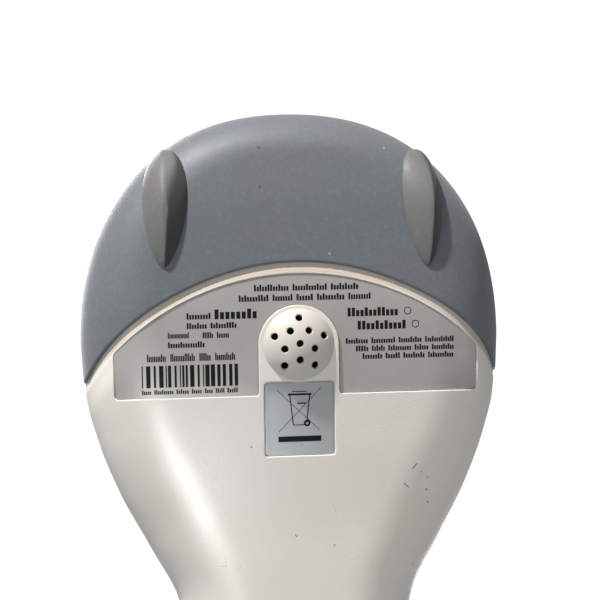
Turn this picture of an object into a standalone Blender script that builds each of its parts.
"""Handheld single-line laser barcode scanner.

Every length below is in millimetres and is turned into metres by MM when a mesh is made.
A point is written (x, s, z): x across the scanner, s back from the tip of the nose towards the
end of the handle, z up from the table that it rests on. World Y is s less half the length.
"""
import math

import bmesh
import bpy
import numpy as np
from mathutils import Matrix, Vector

MM = 0.001
LENGTH = 198.0
HEAD_HALF = 39.0        # half the width of the head
HEAD_S = 42.0           # where the head is widest
NOSE_POWER = 2.25       # how square the nose is in plan
TAIL_S = 184.0          # where the end of the handle starts to round off
TAIL_HALF = 19.9
WALL = 2.4              # thickness of the housing
BUMPER = 2.2            # thickness of the bumper
GAP = 0.3               # clearance between neighbours
SEAM_GAP = 0.15         # each housing half stops this far from the parting line
SIDE_POINTS = 28        # outline points on each side
WINDOW_HALF = 25.0
WINDOW_Z = (11.0, 26.6)
BEAM_Z = 20.0
MIRROR_S = 41.0         # where the laser beam meets the scan mirror
PIVOT = (4.0, 44.5)     # x, s of the flexure axis
BUTTON = (0.0, 80.0)
BOARD_Z = (22.0, 23.6)
BEEPER = (0.0, 43.0)
FOOT_X = 23.3
LABEL_DEEP = 0.6

# Stations along the scanner: (s, value).
NECK = ((42, 39.0), (50, 38.5), (60, 36.1), (70, 32.2), (80, 26.9), (90, 21.9), (100, 20.2),
        (120, 19.4), (150, 19.8), (175, 20.3), (184, 19.9))
UNDER = ((0, 4.2), (8, 2.7), (20, 1.9), (34, 2.2), (46, 3.4), (60, 5.8), (80, 9.6), (105, 12.4),
         (130, 12.0), (155, 8.6), (175, 3.2), (184, 0.0), (189, -1.0), (194, -0.6), (198, 0.9))
OVER = ((0, 30.0), (10, 33.4), (25, 37.0), (42, 39.4), (55, 40.0), (68, 39.7), (85, 38.2),
        (105, 35.8), (130, 33.0), (155, 29.6), (175, 26.0), (190, 22.9), (198, 21.2))
SEAM = ((0, 16.0), (25, 17.0), (50, 18.4), (75, 21.0), (100, 23.6), (125, 23.0), (150, 19.8),
        (175, 14.8), (198, 10.8))
ROUND = ((0, 7.5), (18, 10.5), (42, 14.5), (65, 15.0), (95, 13.5), (198, 12.0))


def along(table, s):
    """Smooth value at s through a table of stations."""
    xs = [p[0] for p in table]
    ys = [p[1] for p in table]
    s = min(max(s, xs[0]), xs[-1])
    k = min(max(int(np.searchsorted(xs, s)) - 1, 0), len(xs) - 2)
    slope = [(ys[i + 1] - ys[i]) / (xs[i + 1] - xs[i]) for i in range(len(xs) - 1)]

    def tangent(i):
        if i == 0:
            return slope[0]
        if i == len(xs) - 1:
            return slope[-1]
        if slope[i - 1] * slope[i] <= 0:
            return 0.0
        return 2 * slope[i - 1] * slope[i] / (slope[i - 1] + slope[i])

    h = xs[k + 1] - xs[k]
    t = (s - xs[k]) / h
    a = (2 * t**3 - 3 * t**2 + 1) * ys[k] + (t**3 - 2 * t**2 + t) * h * tangent(k)
    return a + (3 * t**2 - 2 * t**3) * ys[k + 1] + (t**3 - t**2) * h * tangent(k + 1)


def half_width(s):
    if s <= 0 or s >= LENGTH:
        return 0.0
    if s < HEAD_S:
        return HEAD_HALF * (1 - ((HEAD_S - s) / HEAD_S) ** NOSE_POWER) ** (1 / NOSE_POWER)
    if s < TAIL_S:
        return along(NECK, s)
    t = (s - TAIL_S) / (LENGTH - TAIL_S)
    return TAIL_HALF * (1 - t**2.4) ** (1 / 2.4)


def outline(count):
    """Plan outline from the nose, down the right side and back up the left, evenly spaced."""
    turn = np.linspace(0, math.pi, 1600)
    ss = LENGTH * (1 - np.cos(turn)) / 2
    pts = np.array([(half_width(s), s) for s in ss])
    step = np.hypot(*np.diff(pts, axis=0).T)
    run = np.concatenate(([0], np.cumsum(step)))
    at = np.linspace(0, run[-1], count + 1)
    right = np.stack([np.interp(at, run, pts[:, 0]), np.interp(at, run, pts[:, 1])], axis=1)
    right[0] = (0, 0)
    right[-1] = (0, LENGTH)
    left = right[-2:0:-1] * (-1, 1)
    return np.concatenate([right, left])


OUTLINE = outline(SIDE_POINTS)


def inward(points):
    ahead = np.roll(points, -1, axis=0)
    behind = np.roll(points, 1, axis=0)
    way = ahead - behind
    normal = np.stack([-way[:, 1], way[:, 0]], axis=1)
    return normal / np.linalg.norm(normal, axis=1)[:, None]


INWARD = inward(OUTLINE)


def inset(x, s):
    """Distance in from the plan outline."""
    a = OUTLINE
    b = np.roll(OUTLINE, -1, axis=0)
    p = np.array((x, s))
    along_edge = np.clip(((p - a) * (b - a)).sum(axis=1) / ((b - a) ** 2).sum(axis=1), 0, 1)
    near = a + along_edge[:, None] * (b - a)
    return float(np.hypot(*(p - near).T).min())


def skin_z(x, s, d, r, over):
    """Height of the outer skin at a point that is d in from the outline."""
    w = max(half_width(s), 8.0)
    seam = along(SEAM, s)
    crown = (x / w) ** 2
    power = 2.5 if over else 2.3
    f = (1 - max(1 - d / r, 0.0) ** power) ** (1 / power)
    if over:
        return seam + (along(OVER, s) - 1.6 * crown - seam) * f
    return max(seam - (seam - along(UNDER, s) - 0.8 * crown) * f, 0.0)


def under_z(x, s):
    return skin_z(x, s, inset(x, s), along(ROUND, s), False)


def over_z(x, s):
    return skin_z(x, s, inset(x, s), along(ROUND, s), True)


RING_TURNS = (0, 26, 48, 70, 90)
SPINE_STEPS = (0.45, 1.0)


def half_grid(over):
    """Rows of points from the parting line in to the middle of one half."""
    rows = []
    rounding = [along(ROUND, s) for s in OUTLINE[:, 1]]
    for turn in RING_TURNS:
        row = []
        for p, n, r in zip(OUTLINE, INWARD, rounding):
            d = r * (1 - math.cos(math.radians(turn)))
            x, s = p + n * d
            row.append((x, s, skin_z(x, s, d, r, over)))
        rows.append(row)
    rim = rows[-1]
    for step in SPINE_STEPS:
        row = []
        for (x, s, _), r in zip(rim, rounding):
            spine = min(max(s, 16.0), LENGTH - 14.0)
            px = x * (1 - step)
            ps = s * (1 - step) + spine * step
            row.append((px, ps, skin_z(px, ps, r, r, over)))
        rows.append(row)
    return rows


def weld_faces(rows, flip, index):
    faces = []
    n = len(rows[0])
    for a, b in zip(rows[:-1], rows[1:]):
        for j in range(n):
            k = (j + 1) % n
            quad = [index(a[j]), index(a[k]), index(b[k]), index(b[j])]
            clean = []
            for v in quad:
                if v not in clean:
                    clean.append(v)
            if len(clean) > 2:
                faces.append(clean[::-1] if flip else clean)
    return faces


class Points:
    """Shared vertex list: the same point is only ever stored once."""

    def __init__(self):
        self.at = {}
        self.list = []

    def __call__(self, p):
        key = tuple(round(c, 4) for c in p)
        if key not in self.at:
            self.at[key] = len(self.list)
            self.list.append(tuple(p))
        return self.at[key]


def material(name, rgb, rough, metal=0.0, clear=0.0):
    mat = bpy.data.materials.new(name)
    mat.use_nodes = True
    node = mat.node_tree.nodes["Principled BSDF"]
    node.inputs["Base Color"].default_value = (*rgb, 1)
    node.inputs["Roughness"].default_value = rough
    node.inputs["Metallic"].default_value = metal
    node.inputs["Transmission Weight"].default_value = clear
    mat.diffuse_color = (*rgb, 1)
    return mat


def new_object(name, verts, faces):
    """Object from points in millimetres, all in triangles."""
    mesh = bpy.data.meshes.new(name)
    mesh.from_pydata(verts, [], faces)
    bm = bmesh.new()
    bm.from_mesh(mesh)
    bmesh.ops.triangulate(bm, faces=bm.faces, quad_method="FIXED")
    bm.to_mesh(mesh)
    bm.free()
    obj = bpy.data.objects.new(name, mesh)
    bpy.context.scene.collection.objects.link(obj)
    return obj


def from_bmesh(name, bm):
    bmesh.ops.recalc_face_normals(bm, faces=bm.faces)
    mesh = bpy.data.meshes.new(name)
    bm.to_mesh(mesh)
    bm.free()
    obj = bpy.data.objects.new(name, mesh)
    bpy.context.scene.collection.objects.link(obj)
    return obj


def boolean(target, cutter, how):
    mod = target.modifiers.new("cut", "BOOLEAN")
    mod.operation = how
    mod.solver = "EXACT"
    mod.object = cutter
    graph = bpy.context.evaluated_depsgraph_get()
    mesh = bpy.data.meshes.new_from_object(target.evaluated_get(graph))
    bm = bmesh.new()
    bm.from_mesh(mesh)
    bmesh.ops.remove_doubles(bm, verts=bm.verts, dist=0.002)
    bmesh.ops.dissolve_degenerate(bm, edges=bm.edges, dist=0.001)
    bm.to_mesh(mesh)
    bm.free()
    target.modifiers.clear()
    target.data = mesh
    bpy.data.objects.remove(cutter, do_unlink=True)
    return target


def cut(target, *cutters):
    for cutter in cutters:
        boolean(target, cutter, "DIFFERENCE")
    return target


def join(target, *others):
    for other in others:
        boolean(target, other, "UNION")
    return target


def keep(target, *others):
    for other in others:
        boolean(target, other, "INTERSECT")
    return target


def box(x, s, z, name="tool", bevel=0.0):
    """Box from three (low, high) ranges."""
    bm = bmesh.new()
    bmesh.ops.create_cube(bm, size=1.0)
    for v in bm.verts:
        v.co = (x[0] + (v.co.x + 0.5) * (x[1] - x[0]),
                s[0] + (v.co.y + 0.5) * (s[1] - s[0]),
                z[0] + (v.co.z + 0.5) * (z[1] - z[0]))
    if bevel:
        bmesh.ops.bevel(bm, geom=bm.edges[:], offset=bevel, segments=1, profile=0.5,
                        affect="EDGES", clamp_overlap=True)
    return from_bmesh(name, bm)


def prism(points, z0, z1, name="tool"):
    """Straight prism from a plan polygon of (x, s) points."""
    n = len(points)
    verts = [(x, s, z0) for x, s in points] + [(x, s, z1) for x, s in points]
    faces = [tuple(range(n)), tuple(range(2 * n - 1, n - 1, -1))]
    faces += [(i, (i + 1) % n, n + (i + 1) % n, n + i) for i in range(n)]
    bm = bmesh.new()
    mesh_verts = [bm.verts.new(v) for v in verts]
    for face in faces:
        bm.faces.new([mesh_verts[i] for i in face])
    return from_bmesh(name, bm)


def turned(profile, base, axis, name="tool", sides=16):
    """Solid of revolution: profile of (radius, height) pairs, from base along axis."""
    axis = Vector(axis).normalized()
    spin = axis.to_track_quat("Z", "Y").to_matrix()
    bm = bmesh.new()
    rings = []
    for r, h in profile:
        if r == 0:
            rings.append([bm.verts.new(Vector(base) + spin @ Vector((0, 0, h)))])
            continue
        ring = []
        for i in range(sides):
            a = 2 * math.pi * (i + 0.5) / sides
            p = Vector((r * math.cos(a), r * math.sin(a), h))
            ring.append(bm.verts.new(Vector(base) + spin @ p))
        rings.append(ring)
    closed = profile[0][0] > 0 and profile[0] != profile[-1]
    for a, b in zip(rings[:-1], rings[1:]):
        for i in range(sides):
            j = (i + 1) % sides
            if len(a) == 1:
                bm.faces.new((a[0], b[i], b[j]))
            elif len(b) == 1:
                bm.faces.new((a[i], a[j], b[0]))
            else:
                bm.faces.new((a[i], a[j], b[j], b[i]))
    if closed and len(rings[0]) > 1:
        bm.faces.new(rings[0][::-1])
    if len(rings[-1]) > 1 and profile[0] != profile[-1]:
        bm.faces.new(rings[-1])
    if profile[0] == profile[-1]:
        bmesh.ops.remove_doubles(bm, verts=bm.verts, dist=1e-5)
    return from_bmesh(name, bm)


def rod(base, axis, r, length, name="tool", sides=16):
    return turned([(r, 0), (r, length)], base, axis, name, sides)


def tube(base, axis, r_out, r_in, length, name="tool", sides=16):
    ring = [(r_in, 0), (r_out, 0), (r_out, length), (r_in, length), (r_in, 0)]
    return turned(ring, base, axis, name, sides)


def together(objects):
    """Separate solids as one object, to cut with all of them at once."""
    bm = bmesh.new()
    for obj in objects:
        bm.from_mesh(obj.data)
        bpy.data.objects.remove(obj, do_unlink=True)
    return from_bmesh("tool", bm)


def skin_tables():
    """Outer skin rows of both halves, with the outward normal at every point."""
    lower = half_grid(False)
    upper = half_grid(True)
    index = Points()
    faces = weld_faces(lower, True, index) + weld_faces(upper, False, index)
    bm = bmesh.new()
    verts = [bm.verts.new(p) for p in index.list]
    for face in faces:
        bm.faces.new([verts[i] for i in face])
    bmesh.ops.recalc_face_normals(bm, faces=bm.faces)
    bm.normal_update()
    normals = [v.normal.copy() for v in verts]
    bm.free()

    def offset(rows, depth):
        out = []
        for row in rows:
            new = []
            for p in row:
                n = normals[index(p)]
                d = depth(p) if callable(depth) else depth
                new.append((p[0] - n.x * d, p[1] - n.y * d, p[2] - n.z * d))
            out.append(new)
        return out

    return lower, upper, offset


LOWER, UPPER, OFFSET = skin_tables()


def skin_solid(depth, name="tool"):
    """The whole body, shrunk by depth."""
    index = Points()
    faces = weld_faces(OFFSET(LOWER, depth), True, index)
    faces += weld_faces(OFFSET(UPPER, depth), False, index)
    return new_object(name, index.list, faces)


def edge_low(x):
    """Back edge of the bumper on the underside, back from the nose."""
    x = min(abs(x), 39.2)
    return 28.5 + 5.5 * (x / 22.0) ** 2 + 4.0 * (x / 39.0) ** 12


def edge_top(x):
    x = min(abs(x), 39.2)
    return 19.0 + 23.0 * (x / 39.0) ** 2 + 7.3 * (x / 39.0) ** 4


def edge_s(x, z):
    t = min(max((z - 17.0) / 16.0, 0.0), 1.0)
    t = t * t * (3 - 2 * t)
    return edge_low(x) * (1 - t) + edge_top(x) * t


def front_zone(shift, name="tool"):
    """Everything in front of the bumper's back edge."""
    xs = (-60, -44, -39.2, -37.6, -35.5, -32.5, -28, -22, -15, -8)
    xs = xs + (0,) + tuple(-x for x in reversed(xs))
    zs = (-15, 3, 17, 20, 23, 26, 29, 33, 55)
    bm = bmesh.new()
    rows = []
    for z in zs:
        back = [bm.verts.new((x, edge_s(x, z) + shift, z)) for x in xs]
        front = [bm.verts.new((x, -20, z)) for x in (xs[-1], xs[0])]
        rows.append(back + front)
    for a, b in zip(rows[:-1], rows[1:]):
        for i in range(len(a)):
            j = (i + 1) % len(a)
            bm.faces.new((a[i], a[j], b[j], b[i]))
    bm.faces.new(rows[0][::-1])
    bm.faces.new(rows[-1])
    bmesh.ops.triangulate(bm, faces=bm.faces, quad_method="FIXED")
    return from_bmesh(name, bm)


def shell_depth(p):
    """Housing wall, deeper where the bumper covers it."""
    into = edge_s(p[0], p[2]) + 3.0 - p[1]
    t = min(max(into / 4.0, 0.0), 1.0)
    return WALL + (BUMPER + GAP) * t * t * (3 - 2 * t)


def cup(over, name):
    """One housing half, open at the parting line."""
    outer = UPPER if over else LOWER
    inner = OFFSET(outer, shell_depth)
    lift = SEAM_GAP if over else -SEAM_GAP
    rows = []
    for part in (outer, inner):
        rows.append([[(x, s, z + lift) for x, s, z in part[0]]] + part[1:])
    index = Points()
    faces = weld_faces(rows[0], not over, index)
    faces += weld_faces(rows[1], over, index)
    faces += weld_faces([rows[0][0], rows[1][0]], over, index)
    return new_object(name, index.list, faces)


def strip_bumper_zone(shell):
    zone = cut(front_zone(GAP), skin_solid(BUMPER + GAP))
    return cut(shell, zone)


def window_prism(grow, s1=15.0):
    x = WINDOW_HALF + grow
    return box((-x, x), (-8, s1), (WINDOW_Z[0] - grow, WINDOW_Z[1] + grow), bevel=1.2)


def foot_outline(cx, grow):
    """Pointed egg, 8 wide and 21 long, set beside the nose."""
    pts = []
    for i in range(20):
        a = 2 * math.pi * i / 20
        t = (1 - math.cos(a)) / 2
        s = 8.0 - grow + t * (21.4 + 2 * grow)
        w = (4.0 + grow) * math.sin(a) * (1 - 0.5 * t) * 1.38
        w = max(min(w, 4.0 + grow), -4.0 - grow)
        lean = (s - 16) * 0.04 * (1 if cx > 0 else -1)
        pts.append((cx + w + lean, s))
    return pts


def foot_pocket(cx):
    pocket = prism(foot_outline(cx, GAP), -4, 9.9)
    return cut(pocket, skin_solid(1.0))


def ridge_foot(name, cx):
    """Ridge that stands proud of the bumper, its crest flat on the table."""
    bm = bmesh.new()
    base = foot_outline(cx, 0.0)
    mid_s = sum(s for _, s in base) / len(base)
    levels = ((9.6, 1.0), (5.5, 0.98), (2.6, 0.86), (0.8, 0.62), (0.0, 0.30))
    rings = []
    for z, scale in levels:
        rings.append([bm.verts.new((cx + (x - cx) * scale, mid_s + (s - mid_s) * scale ** 0.55, z))
                      for x, s in base])
    for a, b in zip(rings[:-1], rings[1:]):
        for i in range(len(a)):
            j = (i + 1) % len(a)
            bm.faces.new((a[i], a[j], b[j], b[i]))
    bm.faces.new(rings[0][::-1])
    bm.faces.new(rings[-1])
    foot = from_bmesh(name, bm)
    return cut(foot, skin_solid(0.7))


def label_outline(grow):
    """Arched label with a bay for the sounder dome."""
    r = 47.3 + grow
    side = 33.1 + grow
    back = 52.5 + grow
    bay = 7.4 - grow
    reach = math.asin(side / r)
    pts = []
    for i in range(16):
        a = -reach + 2 * reach * i / 15
        pts.append((r * math.sin(a), 78.2 - r * math.cos(a)))
    pts.append((side, back))
    pts.append((bay, back))
    for i in range(10):
        a = math.pi * i / 9
        pts.append((bay * math.cos(a), 43.0 - bay * math.sin(a)))
    pts.append((-bay, back))
    pts.append((-side, back))
    return pts


def sticker(name, points, top, deep):
    """Thin sticker that follows the skin between two depths."""
    body = prism(points, -3, 16, name)
    keep(body, skin_solid(top))
    return cut(body, skin_solid(deep))


def recess(points):
    tool = prism(points, -6, 16)
    return cut(tool, skin_solid(LABEL_DEEP))


def square(cx, cs, hx, hs):
    return [(cx - hx, cs - hs), (cx + hx, cs - hs), (cx + hx, cs + hs), (cx - hx, cs + hs)]


def sounder_dome():
    """Low dome of the sounder grille."""
    z = under_z(0, 43)
    arc = []
    for i in range(5):
        a = math.radians(42 * i / 4)
        arc.append((9.9 * math.sin(a), -9.9 * math.cos(a) + 7.35))
    arc[0] = (0, arc[0][1])
    return turned(arc + [(6.6, 1.6)], (*BEEPER, z), (0, 0, 1), sides=20)


def grille_holes():
    holes = [(0.0, 0.0)]
    for r, first in ((2.9, 90), (4.7, -90)):
        for i in range(5):
            a = math.radians(first + 72 * i)
            holes.append((r * math.cos(a), r * math.sin(a)))
    return together([rod((BEEPER[0] + x, BEEPER[1] + s, -4), (0, 0, 1), 0.7, 12, sides=8)
                     for x, s in holes])


def boss(x, s, top, r=2.6):
    base = under_z(x, s) + shell_depth((x, s, 0.0)) - 1.0
    return rod((x, s, base), (0, 0, 1), r, top - base, sides=12)


def blind(x, s, top, r, deep):
    return rod((x, s, top - deep), (0, 0, 1), r, deep + 2, sides=12)


CHASSIS_SCREWS = ((-26.0, 31.5), (14.0, 55.5))
CHASSIS_POSTS = ((14.0, 33.5), (-26.0, 55.5))
BOARD_SCREWS = ((-11.0, 69.0), (0.0, 141.0))
CASE_SCREWS = (104.0, 162.0)
PLATE_Z = (13.0, 14.8)
CASE_TOP = (19.5, 14.6)


def socket_tunnel():
    return box((-6.4, 6.4), (189, 204), (6.3, 15.0), bevel=0.5)


def lower_shell():
    shell = cup(False, "lower_shell")
    strip_bumper_zone(shell)
    cut(shell, recess(label_outline(0.4)), recess(square(0, 56.9, 6.55, 6.85)))
    join(shell, sounder_dome())
    inner = turned([(0, -1.5), (3.4, -1.0), (5.0, 0.5), (5.0, 6.0)], (*BEEPER, under_z(0, 43)),
                   (0, 0, 1), sides=24)
    cut(shell, inner, grille_holes())
    join(shell, tube((*BEEPER, under_z(0, 43) + 2.2), (0, 0, 1), 7.6, 6.4, 4.6, sides=20))
    for x, s in CHASSIS_SCREWS + CHASSIS_POSTS:
        join(shell, boss(x, s, PLATE_Z[0] - GAP))
    for x, s in BOARD_SCREWS:
        join(shell, boss(x, s, BOARD_Z[0] - GAP))
    for s, top in zip(CASE_SCREWS, CASE_TOP):
        join(shell, boss(0, s, top, 3.7))
    for x in (-9.0, 9.0):
        join(shell, box((x - 1, x + 1), (16.6, 18.2), (4.6, 13.5)))
        join(shell, box((x * 0.6 - 1, x * 0.6 + 1), (183, 190), (1.8, 5.2)))
    for x, s in CHASSIS_SCREWS:
        cut(shell, blind(x, s, PLATE_Z[0] - GAP, 1.15, 5.0))
    for x, s in BOARD_SCREWS:
        cut(shell, blind(x, s, BOARD_Z[0] - GAP, 1.15, 5.0))
    for s, top in zip(CASE_SCREWS, CASE_TOP):
        web = top - 3.0
        cut(shell, rod((0, s, -2), (0, 0, 1), 2.5, web + 2, sides=20))
        cut(shell, rod((0, s, web - 1), (0, 0, 1), 1.5, 8, sides=16))
    return cut(shell, window_prism(GAP, 17.0), socket_tunnel())


def upper_shell():
    shell = cup(True, "upper_shell")
    strip_bumper_zone(shell)
    cut(shell, rod_ellipse(BUTTON, 8.6, 12.1, 30, 46))
    cut(shell, box((-8.3, 8.3), (62.3, 65.7), (33, 46), bevel=0.8))
    for s, top in zip(CASE_SCREWS, CASE_TOP):
        z0 = top + GAP
        join(shell, rod((0, s, z0), (0, 0, 1), 2.9, over_z(0, s) - 1.2 - z0, sides=16))
        cut(shell, rod((0, s, z0 - 1), (0, 0, 1), 1.2, 7.5, sides=16))
    return cut(shell, window_prism(GAP, 17.0), socket_tunnel())


def rod_ellipse(centre, rx, rs, z0, z1, name="tool", sides=28):
    pts = []
    for i in range(sides):
        a = 2 * math.pi * i / sides
        pts.append((centre[0] + rx * math.cos(a), centre[1] + rs * math.sin(a)))
    return prism(pts, z0, z1, name)


def front_bumper():
    """Soft bumper: the front of the skin, hollow, with the window let through it."""
    bumper = skin_solid(0.0, "front_bumper")
    keep(bumper, front_zone(0.0))
    cut(bumper, skin_solid(BUMPER), window_prism(-1.2))
    return cut(bumper, foot_pocket(-FOOT_X), foot_pocket(FOOT_X))


def scan_window():
    window = skin_solid(3.3, "scan_window")
    keep(window, window_prism(0.0, 13.0))
    return cut(window, skin_solid(4.8))


def window_gasket():
    frame = skin_solid(2.5, "window_gasket")
    keep(frame, window_prism(0.0, 13.0))
    cut(frame, skin_solid(3.0), window_prism(-2.0))
    return frame


def light_pipe():
    pipe = box((-8.0, 8.0), (62.6, 65.4), (34, 45), "light_pipe", bevel=0.5)
    keep(pipe, skin_solid(-0.1))
    join(pipe, box((-9.4, 9.4), (61.4, 66.6), (35.0, 36.2)))
    for x in (-6, 0, 6):
        join(pipe, rod((x, 64, 25.6), (0, 0, 1), 1.2, 10, sides=12))
    return pipe


def trigger_button():
    cap = rod_ellipse(BUTTON, 8.2, 11.7, 33.0, 46, "trigger_button")
    keep(cap, skin_solid(-1.0))
    join(cap, rod_ellipse(BUTTON, 9.8, 13.3, 31.8, 33.2))
    return join(cap, rod((*BUTTON, 29.3), (0, 0, 1), 2.5, 3.0, sides=20))


def switch_body():
    x, s = BUTTON
    body = box((x - 3, x + 3), (s - 3, s + 3), (23.9, 27.4), "switch_body", bevel=0.3)
    return cut(body, rod((x, s, 25.4), (0, 0, 1), 2.0, 4, sides=20))


def switch_plunger():
    plunger = rod((*BUTTON, 26.2), (0, 0, 1), 1.7, 2.8, "switch_plunger", sides=20)
    return plunger


def screw(name, base, axis, head_r, head_h, shank_r, length):
    """Pan head screw, its head at base and its shank along the axis."""
    prof = [(0, 0.5), (0.9, 0.5), (0.9, 0), (head_r - 0.3, 0), (head_r, 0.3),
            (head_r, head_h), (shank_r, head_h), (shank_r, head_h + length)]
    return turned(prof, base, axis, name, sides=10)


def main_board():
    pts = [(-24, 61.5), (24, 61.5), (24, 69), (14.5, 78), (14.5, 149), (-14.5, 149),
           (-14.5, 78), (-24, 69)]
    board = prism(pts, *BOARD_Z, "main_board")
    cut(board, rod((0, CASE_SCREWS[0], 20), (0, 0, 1), 4.3, 6, sides=24))
    for x, s in BOARD_SCREWS:
        cut(board, rod((x, s, 20), (0, 0, 1), 1.3, 6, sides=10))
    return board


def on_board(name, x, s, size, bevel=0.15):
    hx, hs, h = size[0] / 2, size[1] / 2, size[2]
    z = BOARD_Z[1] + GAP
    return box((x - hx, x + hx), (s - hs, s + hs), (z, z + h), name, bevel)


def optics_chassis():
    """Moulded frame that carries the laser, the mirrors and the detector."""
    z0, z1 = PLATE_Z
    frame = box((-29, 18), (29, 58.5), PLATE_Z, "optics_chassis")
    join(frame, box((-29.5, -21.5), (35.5, 46.5), (z0 + 0.2, 26.0)))
    for s in (29.9, 51.9):
        join(frame, box((-20.2, -14.8), (s - 1.0, s + 1.2), (z0 + 0.2, 27.0)))
    join(frame, box((14.6, 17.0), (37.5, 50.0), (z0 + 0.2, 32.0)))
    join(frame, frame_box(1.5, 4.6, -1.7, -0.5, z0 + 0.2, 24.0))
    join(frame, frame_box(6.4, 7.9, -8.5, -3.5, z0 + 0.2, 22.0))
    cut(frame, rod((-34, MIRROR_S, BEAM_Z), (1, 0, 0), 4.8, 16))
    cut(frame, along_frame(rod((6, -6, BEAM_Z), (1, 0, 0), 1.3, 3, sides=16)))
    for x, s in CHASSIS_SCREWS:
        cut(frame, rod((x, s, z0 - 2), (0, 0, 1), 1.3, 5, sides=10))
    for x in (-8, 2):
        cut(frame, box((x - 3, x + 3), (32, 36), (z0 - 2, z1 + 2)))
    return frame


def frame_point(b, t):
    """Point b behind the flexure axis and t along the mirror."""
    k = math.sqrt(0.5)
    return PIVOT[0] + (b + t) * k, PIVOT[1] + (b - t) * k


def frame_box(b0, b1, t0, t1, z0, z1, name="tool"):
    pts = [frame_point(b0, t0), frame_point(b1, t0), frame_point(b1, t1), frame_point(b0, t1)]
    return prism(pts, z0, z1, name)


def along_frame(obj):
    """Turn a solid built at (b, t, z) into the mirror's own directions."""
    k = math.sqrt(0.5)
    for v in obj.data.vertices:
        v.co.x, v.co.y = frame_point(v.co.x, v.co.y)
    obj.data.flip_normals()
    return obj


def laser_barrel():
    prof = [(3.0, 0), (4.5, 0), (4.5, 12.0), (2.9, 12.0), (2.9, 9.0), (2.2, 9.0), (2.2, 4.2),
            (3.0, 4.2), (3.0, 0)]
    return turned(prof, (-32.5, MIRROR_S, BEAM_Z), (1, 0, 0), "laser_barrel", 18)


def laser_diode():
    can = turned([(0, 0), (2.7, 0), (2.7, 1.2), (2.0, 1.2), (2.0, 3.6), (0, 3.6)],
                 (-32.2, MIRROR_S, BEAM_Z), (1, 0, 0), "laser_diode", 16)
    for ds, dz in ((-1.0, 0.0), (1.0, 0.0), (0.0, 1.0)):
        join(can, rod((-33.6, MIRROR_S + ds, BEAM_Z + dz), (1, 0, 0), 0.25, 2.0, sides=8))
    return can


def collimating_lens():
    prof = [(0, 0), (1.4, 0.25), (2.5, 0.7), (2.5, 1.7), (1.4, 2.15), (0, 2.4)]
    return turned(prof, (-23.2, MIRROR_S, BEAM_Z), (1, 0, 0), "collimating_lens", 16)


def collecting_mirror():
    """Shallow dish with the laser's hole in it, tipped up to the detector."""
    mirror = box((-1.9, 1.1), (-9.5, 9.5), (-4.6, 4.6), "collecting_mirror")
    cut(mirror, turned([(0, -0.6), (4.0, -0.4), (8.0, 0.4), (11.5, 1.6), (11.5, 5.0)],
                       (0, 0, 0), (1, 0, 0), sides=24))
    cut(mirror, rod((-6, 0, 0), (1, 0, 0), 1.5, 12, sides=16))
    tip = Matrix.Rotation(math.radians(-8), 4, "Y")
    mirror.data.transform(Matrix.Translation((-17.6, MIRROR_S, BEAM_Z)) @ tip)
    return mirror


def scan_mirror():
    return frame_box(-5.6, -4.6, -8.0, 8.0, 15.4, 25.4, "scan_mirror")


def mirror_carrier():
    carrier = frame_box(-4.3, -3.1, -8.0, 8.0, 15.4, 25.4, "mirror_carrier")
    for t0, t1 in ((-1.6, -0.4), (0.4, 1.6)):
        join(carrier, frame_box(-3.3, -1.5, t0, t1, 16.4, 24.4))
    return carrier


def flexure_strip():
    return frame_box(-2.7, 4.3, -0.1, 0.1, 16.6, 23.8, "flexure_strip")


def flexure_clamp():
    return frame_box(1.5, 4.6, 0.4, 1.7, PLATE_Z[1] + GAP, 24.0, "flexure_clamp")


def mirror_magnet():
    return along_frame(rod((-2.8, -6, BEAM_Z), (1, 0, 0), 2.0, 1.8, "mirror_magnet", 20))


def drive_coil():
    return along_frame(tube((1.5, -6, BEAM_Z), (1, 0, 0), 3.6, 1.5, 4.2, "drive_coil", 20))


def coil_core():
    prof = [(0, 0), (1.2, 0), (1.2, 4.7), (2.4, 4.7), (2.4, 5.2), (1.0, 5.2), (1.0, 7.4), (0, 7.4)]
    return along_frame(turned(prof, (1.0, -6, BEAM_Z), (1, 0, 0), "coil_core", 12))


def detector_board():
    return box((13.0, 14.2), (38.0, 49.5), (24.0, 32.4), "detector_board")


def photodiode():
    return box((11.3, 12.7), (40.0, 44.5), (26.0, 31.0), "photodiode", bevel=0.2)


def detector_filter():
    return box((10.0, 11.0), (39.0, 45.5), (25.2, 31.8), "detector_filter")


def strip_along(name, path, x0, x1, thick):
    """Flat strip that follows (s, z) points."""
    top = []
    bottom = []
    for i, (s, z) in enumerate(path):
        a = path[max(i - 1, 0)]
        b = path[min(i + 1, len(path) - 1)]
        ds, dz = b[0] - a[0], b[1] - a[1]
        length = math.hypot(ds, dz)
        ns, nz = -dz / length * thick / 2, ds / length * thick / 2
        top.append((s + ns, z + nz))
        bottom.append((s - ns, z - nz))
    loop = top + bottom[::-1]
    n = len(loop)
    bm = bmesh.new()
    near = [bm.verts.new((x0, s, z)) for s, z in loop]
    far = [bm.verts.new((x1, s, z)) for s, z in loop]
    for i in range(n):
        j = (i + 1) % n
        bm.faces.new((near[i], near[j], far[j], far[i]))
    half = len(path)
    for i in range(half - 1):
        bm.faces.new((near[i], near[n - 1 - i], near[n - 2 - i], near[i + 1]))
        bm.faces.new((far[i], far[i + 1], far[n - 2 - i], far[n - 1 - i]))
    return from_bmesh(name, bm)


def curve_points(stations, steps=4):
    first, last = stations[0][0], stations[-1][0]
    count = (len(stations) - 1) * steps
    return [(first + (last - first) * i / count,
             along(stations, first + (last - first) * i / count)) for i in range(count + 1)]


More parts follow.
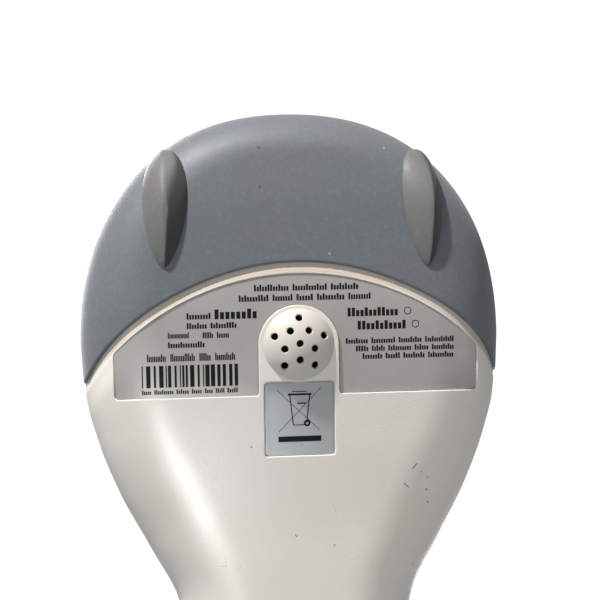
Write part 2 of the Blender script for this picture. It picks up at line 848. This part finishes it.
def laser_flex():
    path = ((37, 26.6), (48, 26.6), (54, 27.0), (59, 26.2), (64, 24.5), (68, 24.1))
    return strip_along("laser_flex", curve_points(path, 3), -27.0, -22.5, 0.3)


def ribbon_cable():
    path = ((140, 24.2), (146, 24.6), (152, 25.2), (160, 23.0), (168, 19.9), (174, 19.0),
            (179, 18.9))
    return strip_along("ribbon_cable", curve_points(path, 3), -11.0, -5.0, 0.4)


def ir_board():
    board = box((-12, 12), (15.0, 16.2), (8.6, 15.6), "ir_board")
    return board


def ir_part(name, x):
    """Domed infrared part on a short body, looking out of the window."""
    prof = [(0, 0), (1.6, 0), (1.6, 3.0), (1.35, 3.7), (0.8, 4.2), (0, 4.4)]
    return turned(prof, (x, 14.7, 13.4), (0, -1, 0), name, 20)


def beeper():
    return turned([(0, 0), (5.6, 0), (6.0, 0.3), (6.0, 4.7), (5.6, 5.0), (0, 5.0)],
                  (*BEEPER, 7.6), (0, 0, 1), "beeper", 20)


def beeper_gasket():
    return tube((*BEEPER, 6.8), (0, 0, 1), 6.0, 5.2, 0.5, "beeper_gasket", 20)


def jack_board():
    return box((-8.5, 8.5), (175.5, 188.5), (17.3, 18.5), "jack_board")


def modular_jack():
    jack = box((-7.2, 7.2), (178.0, 192.3), (5.6, 17.0), "modular_jack", bevel=0.3)
    cut(jack, box((-5.9, 5.9), (180.5, 195.0), (7.6, 14.6)))
    return cut(jack, box((-2.0, 2.0), (181.5, 195.0), (6.5, 8.2)))


def jack_contacts():
    bar = box((-5.5, 5.5), (180.9, 182.4), (13.3, 14.3), "jack_contacts")
    for i in range(10):
        x = (i - 4.5) * 1.1
        bm = bmesh.new()
        bmesh.ops.create_cube(bm, size=1.0)
        for v in bm.verts:
            s = 182.0 if v.co.y < 0 else 190.0
            z = 13.6 if v.co.y < 0 else 12.8
            v.co = (x + v.co.x * 0.4, s, z + v.co.z * 0.4)
        join(bar, from_bmesh("tool", bm))
    return bar


def build():
    beige = material("beige_plastic", (0.66, 0.62, 0.56), 0.5)
    beige_top = material("beige_plastic_top", (0.67, 0.63, 0.57), 0.5)
    blue = material("blue_grey_rubber", (0.19, 0.21, 0.23), 0.7)
    button_blue = material("blue_grey_button", (0.20, 0.23, 0.26), 0.6)
    warm = material("warm_grey_rubber", (0.22, 0.21, 0.20), 0.75)
    red_glass = material("red_window", (0.35, 0.01, 0.01), 0.1, clear=0.8)
    foam = material("black_foam", (0.02, 0.02, 0.02), 0.95)
    clear = material("clear_plastic", (0.9, 0.92, 0.93), 0.15, clear=0.9)
    silver = material("silver_label", (0.45, 0.45, 0.43), 0.4, 0.3)
    steel = material("zinc_steel", (0.62, 0.62, 0.60), 0.35, 1.0)
    green = material("green_board", (0.02, 0.16, 0.07), 0.5)
    black = material("black_plastic", (0.02, 0.02, 0.022), 0.5)
    brass = material("brass", (0.70, 0.52, 0.22), 0.3, 1.0)
    glass = material("lens_glass", (0.9, 0.93, 0.95), 0.05, clear=0.95)
    mirror = material("mirror", (0.85, 0.87, 0.9), 0.05, 1.0)
    copper = material("copper_wire", (0.72, 0.30, 0.14), 0.4, 0.9)
    gold = material("gold_contacts", (0.83, 0.62, 0.25), 0.3, 1.0)
    amber = material("amber_film", (0.55, 0.25, 0.04), 0.35)
    white = material("white_ribbon", (0.75, 0.74, 0.70), 0.5)
    led = {"led_red": (0.6, 0.03, 0.02), "led_blue": (0.05, 0.1, 0.6),
           "led_yellow": (0.7, 0.5, 0.05)}

    made = [
        (lower_shell(), beige), (upper_shell(), beige_top), (front_bumper(), blue),
        (ridge_foot("ridge_foot_left", -FOOT_X), warm),
        (ridge_foot("ridge_foot_right", FOOT_X), warm),
        (scan_window(), red_glass), (window_gasket(), foam), (light_pipe(), clear),
        (trigger_button(), button_blue), (switch_body(), black), (switch_plunger(), white),
        (sticker("info_label", label_outline(0.0), 0.2, 0.4), silver),
        (sticker("recycling_label", square(0, 56.9, 6.25, 6.55), 0.2, 0.4), silver),
        (screw("case_screw_front", (0, CASE_SCREWS[0], CASE_TOP[0] - 5.2), (0, 0, 1),
               2.1, 1.9, 1.1, 8.0), steel),
        (screw("case_screw_rear", (0, CASE_SCREWS[1], CASE_TOP[1] - 5.2), (0, 0, 1),
               2.1, 1.9, 1.1, 8.0), steel),
        (main_board(), green),
        (on_board("decoder_chip", 4, 92, (11, 11, 1.4)), black),
        (on_board("memory_chip", -7, 94, (6, 8, 1.1)), black),
        (on_board("crystal_can", -8, 116, (4, 9, 3.2), 0.8), steel),
        (rod((7, 118, 23.9), (0, 0, 1), 3.0, 6.0, "capacitor"), black),
        (screw("board_screw_front", (*BOARD_SCREWS[0], 25.3), (0, 0, -1), 2.0, 1.4, 0.95, 5.4),
         steel),
        (screw("board_screw_rear", (*BOARD_SCREWS[1], 25.3), (0, 0, -1), 2.0, 1.4, 0.95, 5.4),
         steel),
        (optics_chassis(), black), (laser_barrel(), brass), (laser_diode(), steel),
        (collimating_lens(), glass), (collecting_mirror(), mirror),
        (scan_mirror(), mirror), (mirror_carrier(), black), (mirror_magnet(), steel),
        (flexure_strip(), amber), (flexure_clamp(), black), (drive_coil(), copper),
        (coil_core(), steel), (detector_board(), green), (photodiode(), black),
        (detector_filter(), red_glass), (laser_flex(), amber),
        (screw("chassis_screw_left", (*CHASSIS_SCREWS[0], 16.5), (0, 0, -1),
               2.0, 1.4, 0.95, 5.4), steel),
        (screw("chassis_screw_right", (*CHASSIS_SCREWS[1], 16.5), (0, 0, -1),
               2.0, 1.4, 0.95, 5.4), steel),
        (ir_board(), green), (ir_part("ir_emitter", -7.0), clear),
        (ir_part("ir_receiver", 7.0), black), (beeper(), black), (beeper_gasket(), foam),
        (jack_board(), green), (modular_jack(), black), (jack_contacts(), gold),
        (ribbon_cable(), white),
    ]
    for i, (name, rgb) in enumerate(led.items()):
        made.append((on_board(name, (i - 1) * 6.0, 64, (3.0, 1.8, 1.2)),
                     material(name + "_lens", rgb, 0.3)))
    used = set()
    for obj, mat in made:
        own = mat if mat.name not in used else mat.copy()
        own.name = mat.name if mat.name not in used else obj.name + "_material"
        used.add(mat.name)
        obj.data.materials.clear()
        obj.data.materials.append(own)
        for face in obj.data.polygons:
            face.material_index = 0
        obj.data.transform(Matrix.Scale(MM, 4) @ Matrix.Translation((0, -LENGTH / 2, 0)))
        obj.data.shade_smooth()
        obj.data.set_sharp_from_angle(angle=math.radians(32))


def set_origin(name, x, s, z):
    """Put an object's origin on its joint without moving its mesh."""
    obj = bpy.data.objects[name]
    at = Vector((x * MM, (s - LENGTH / 2) * MM, z * MM))
    obj.data.transform(Matrix.Translation(-at))
    obj.location = at


for old in list(bpy.data.objects):
    bpy.data.objects.remove(old, do_unlink=True)
build()
for part in ("scan_mirror", "mirror_carrier", "mirror_magnet"):
    set_origin(part, *PIVOT, BEAM_Z)
set_origin("trigger_button", *BUTTON, 33.0)
set_origin("switch_plunger", *BUTTON, 26.2)
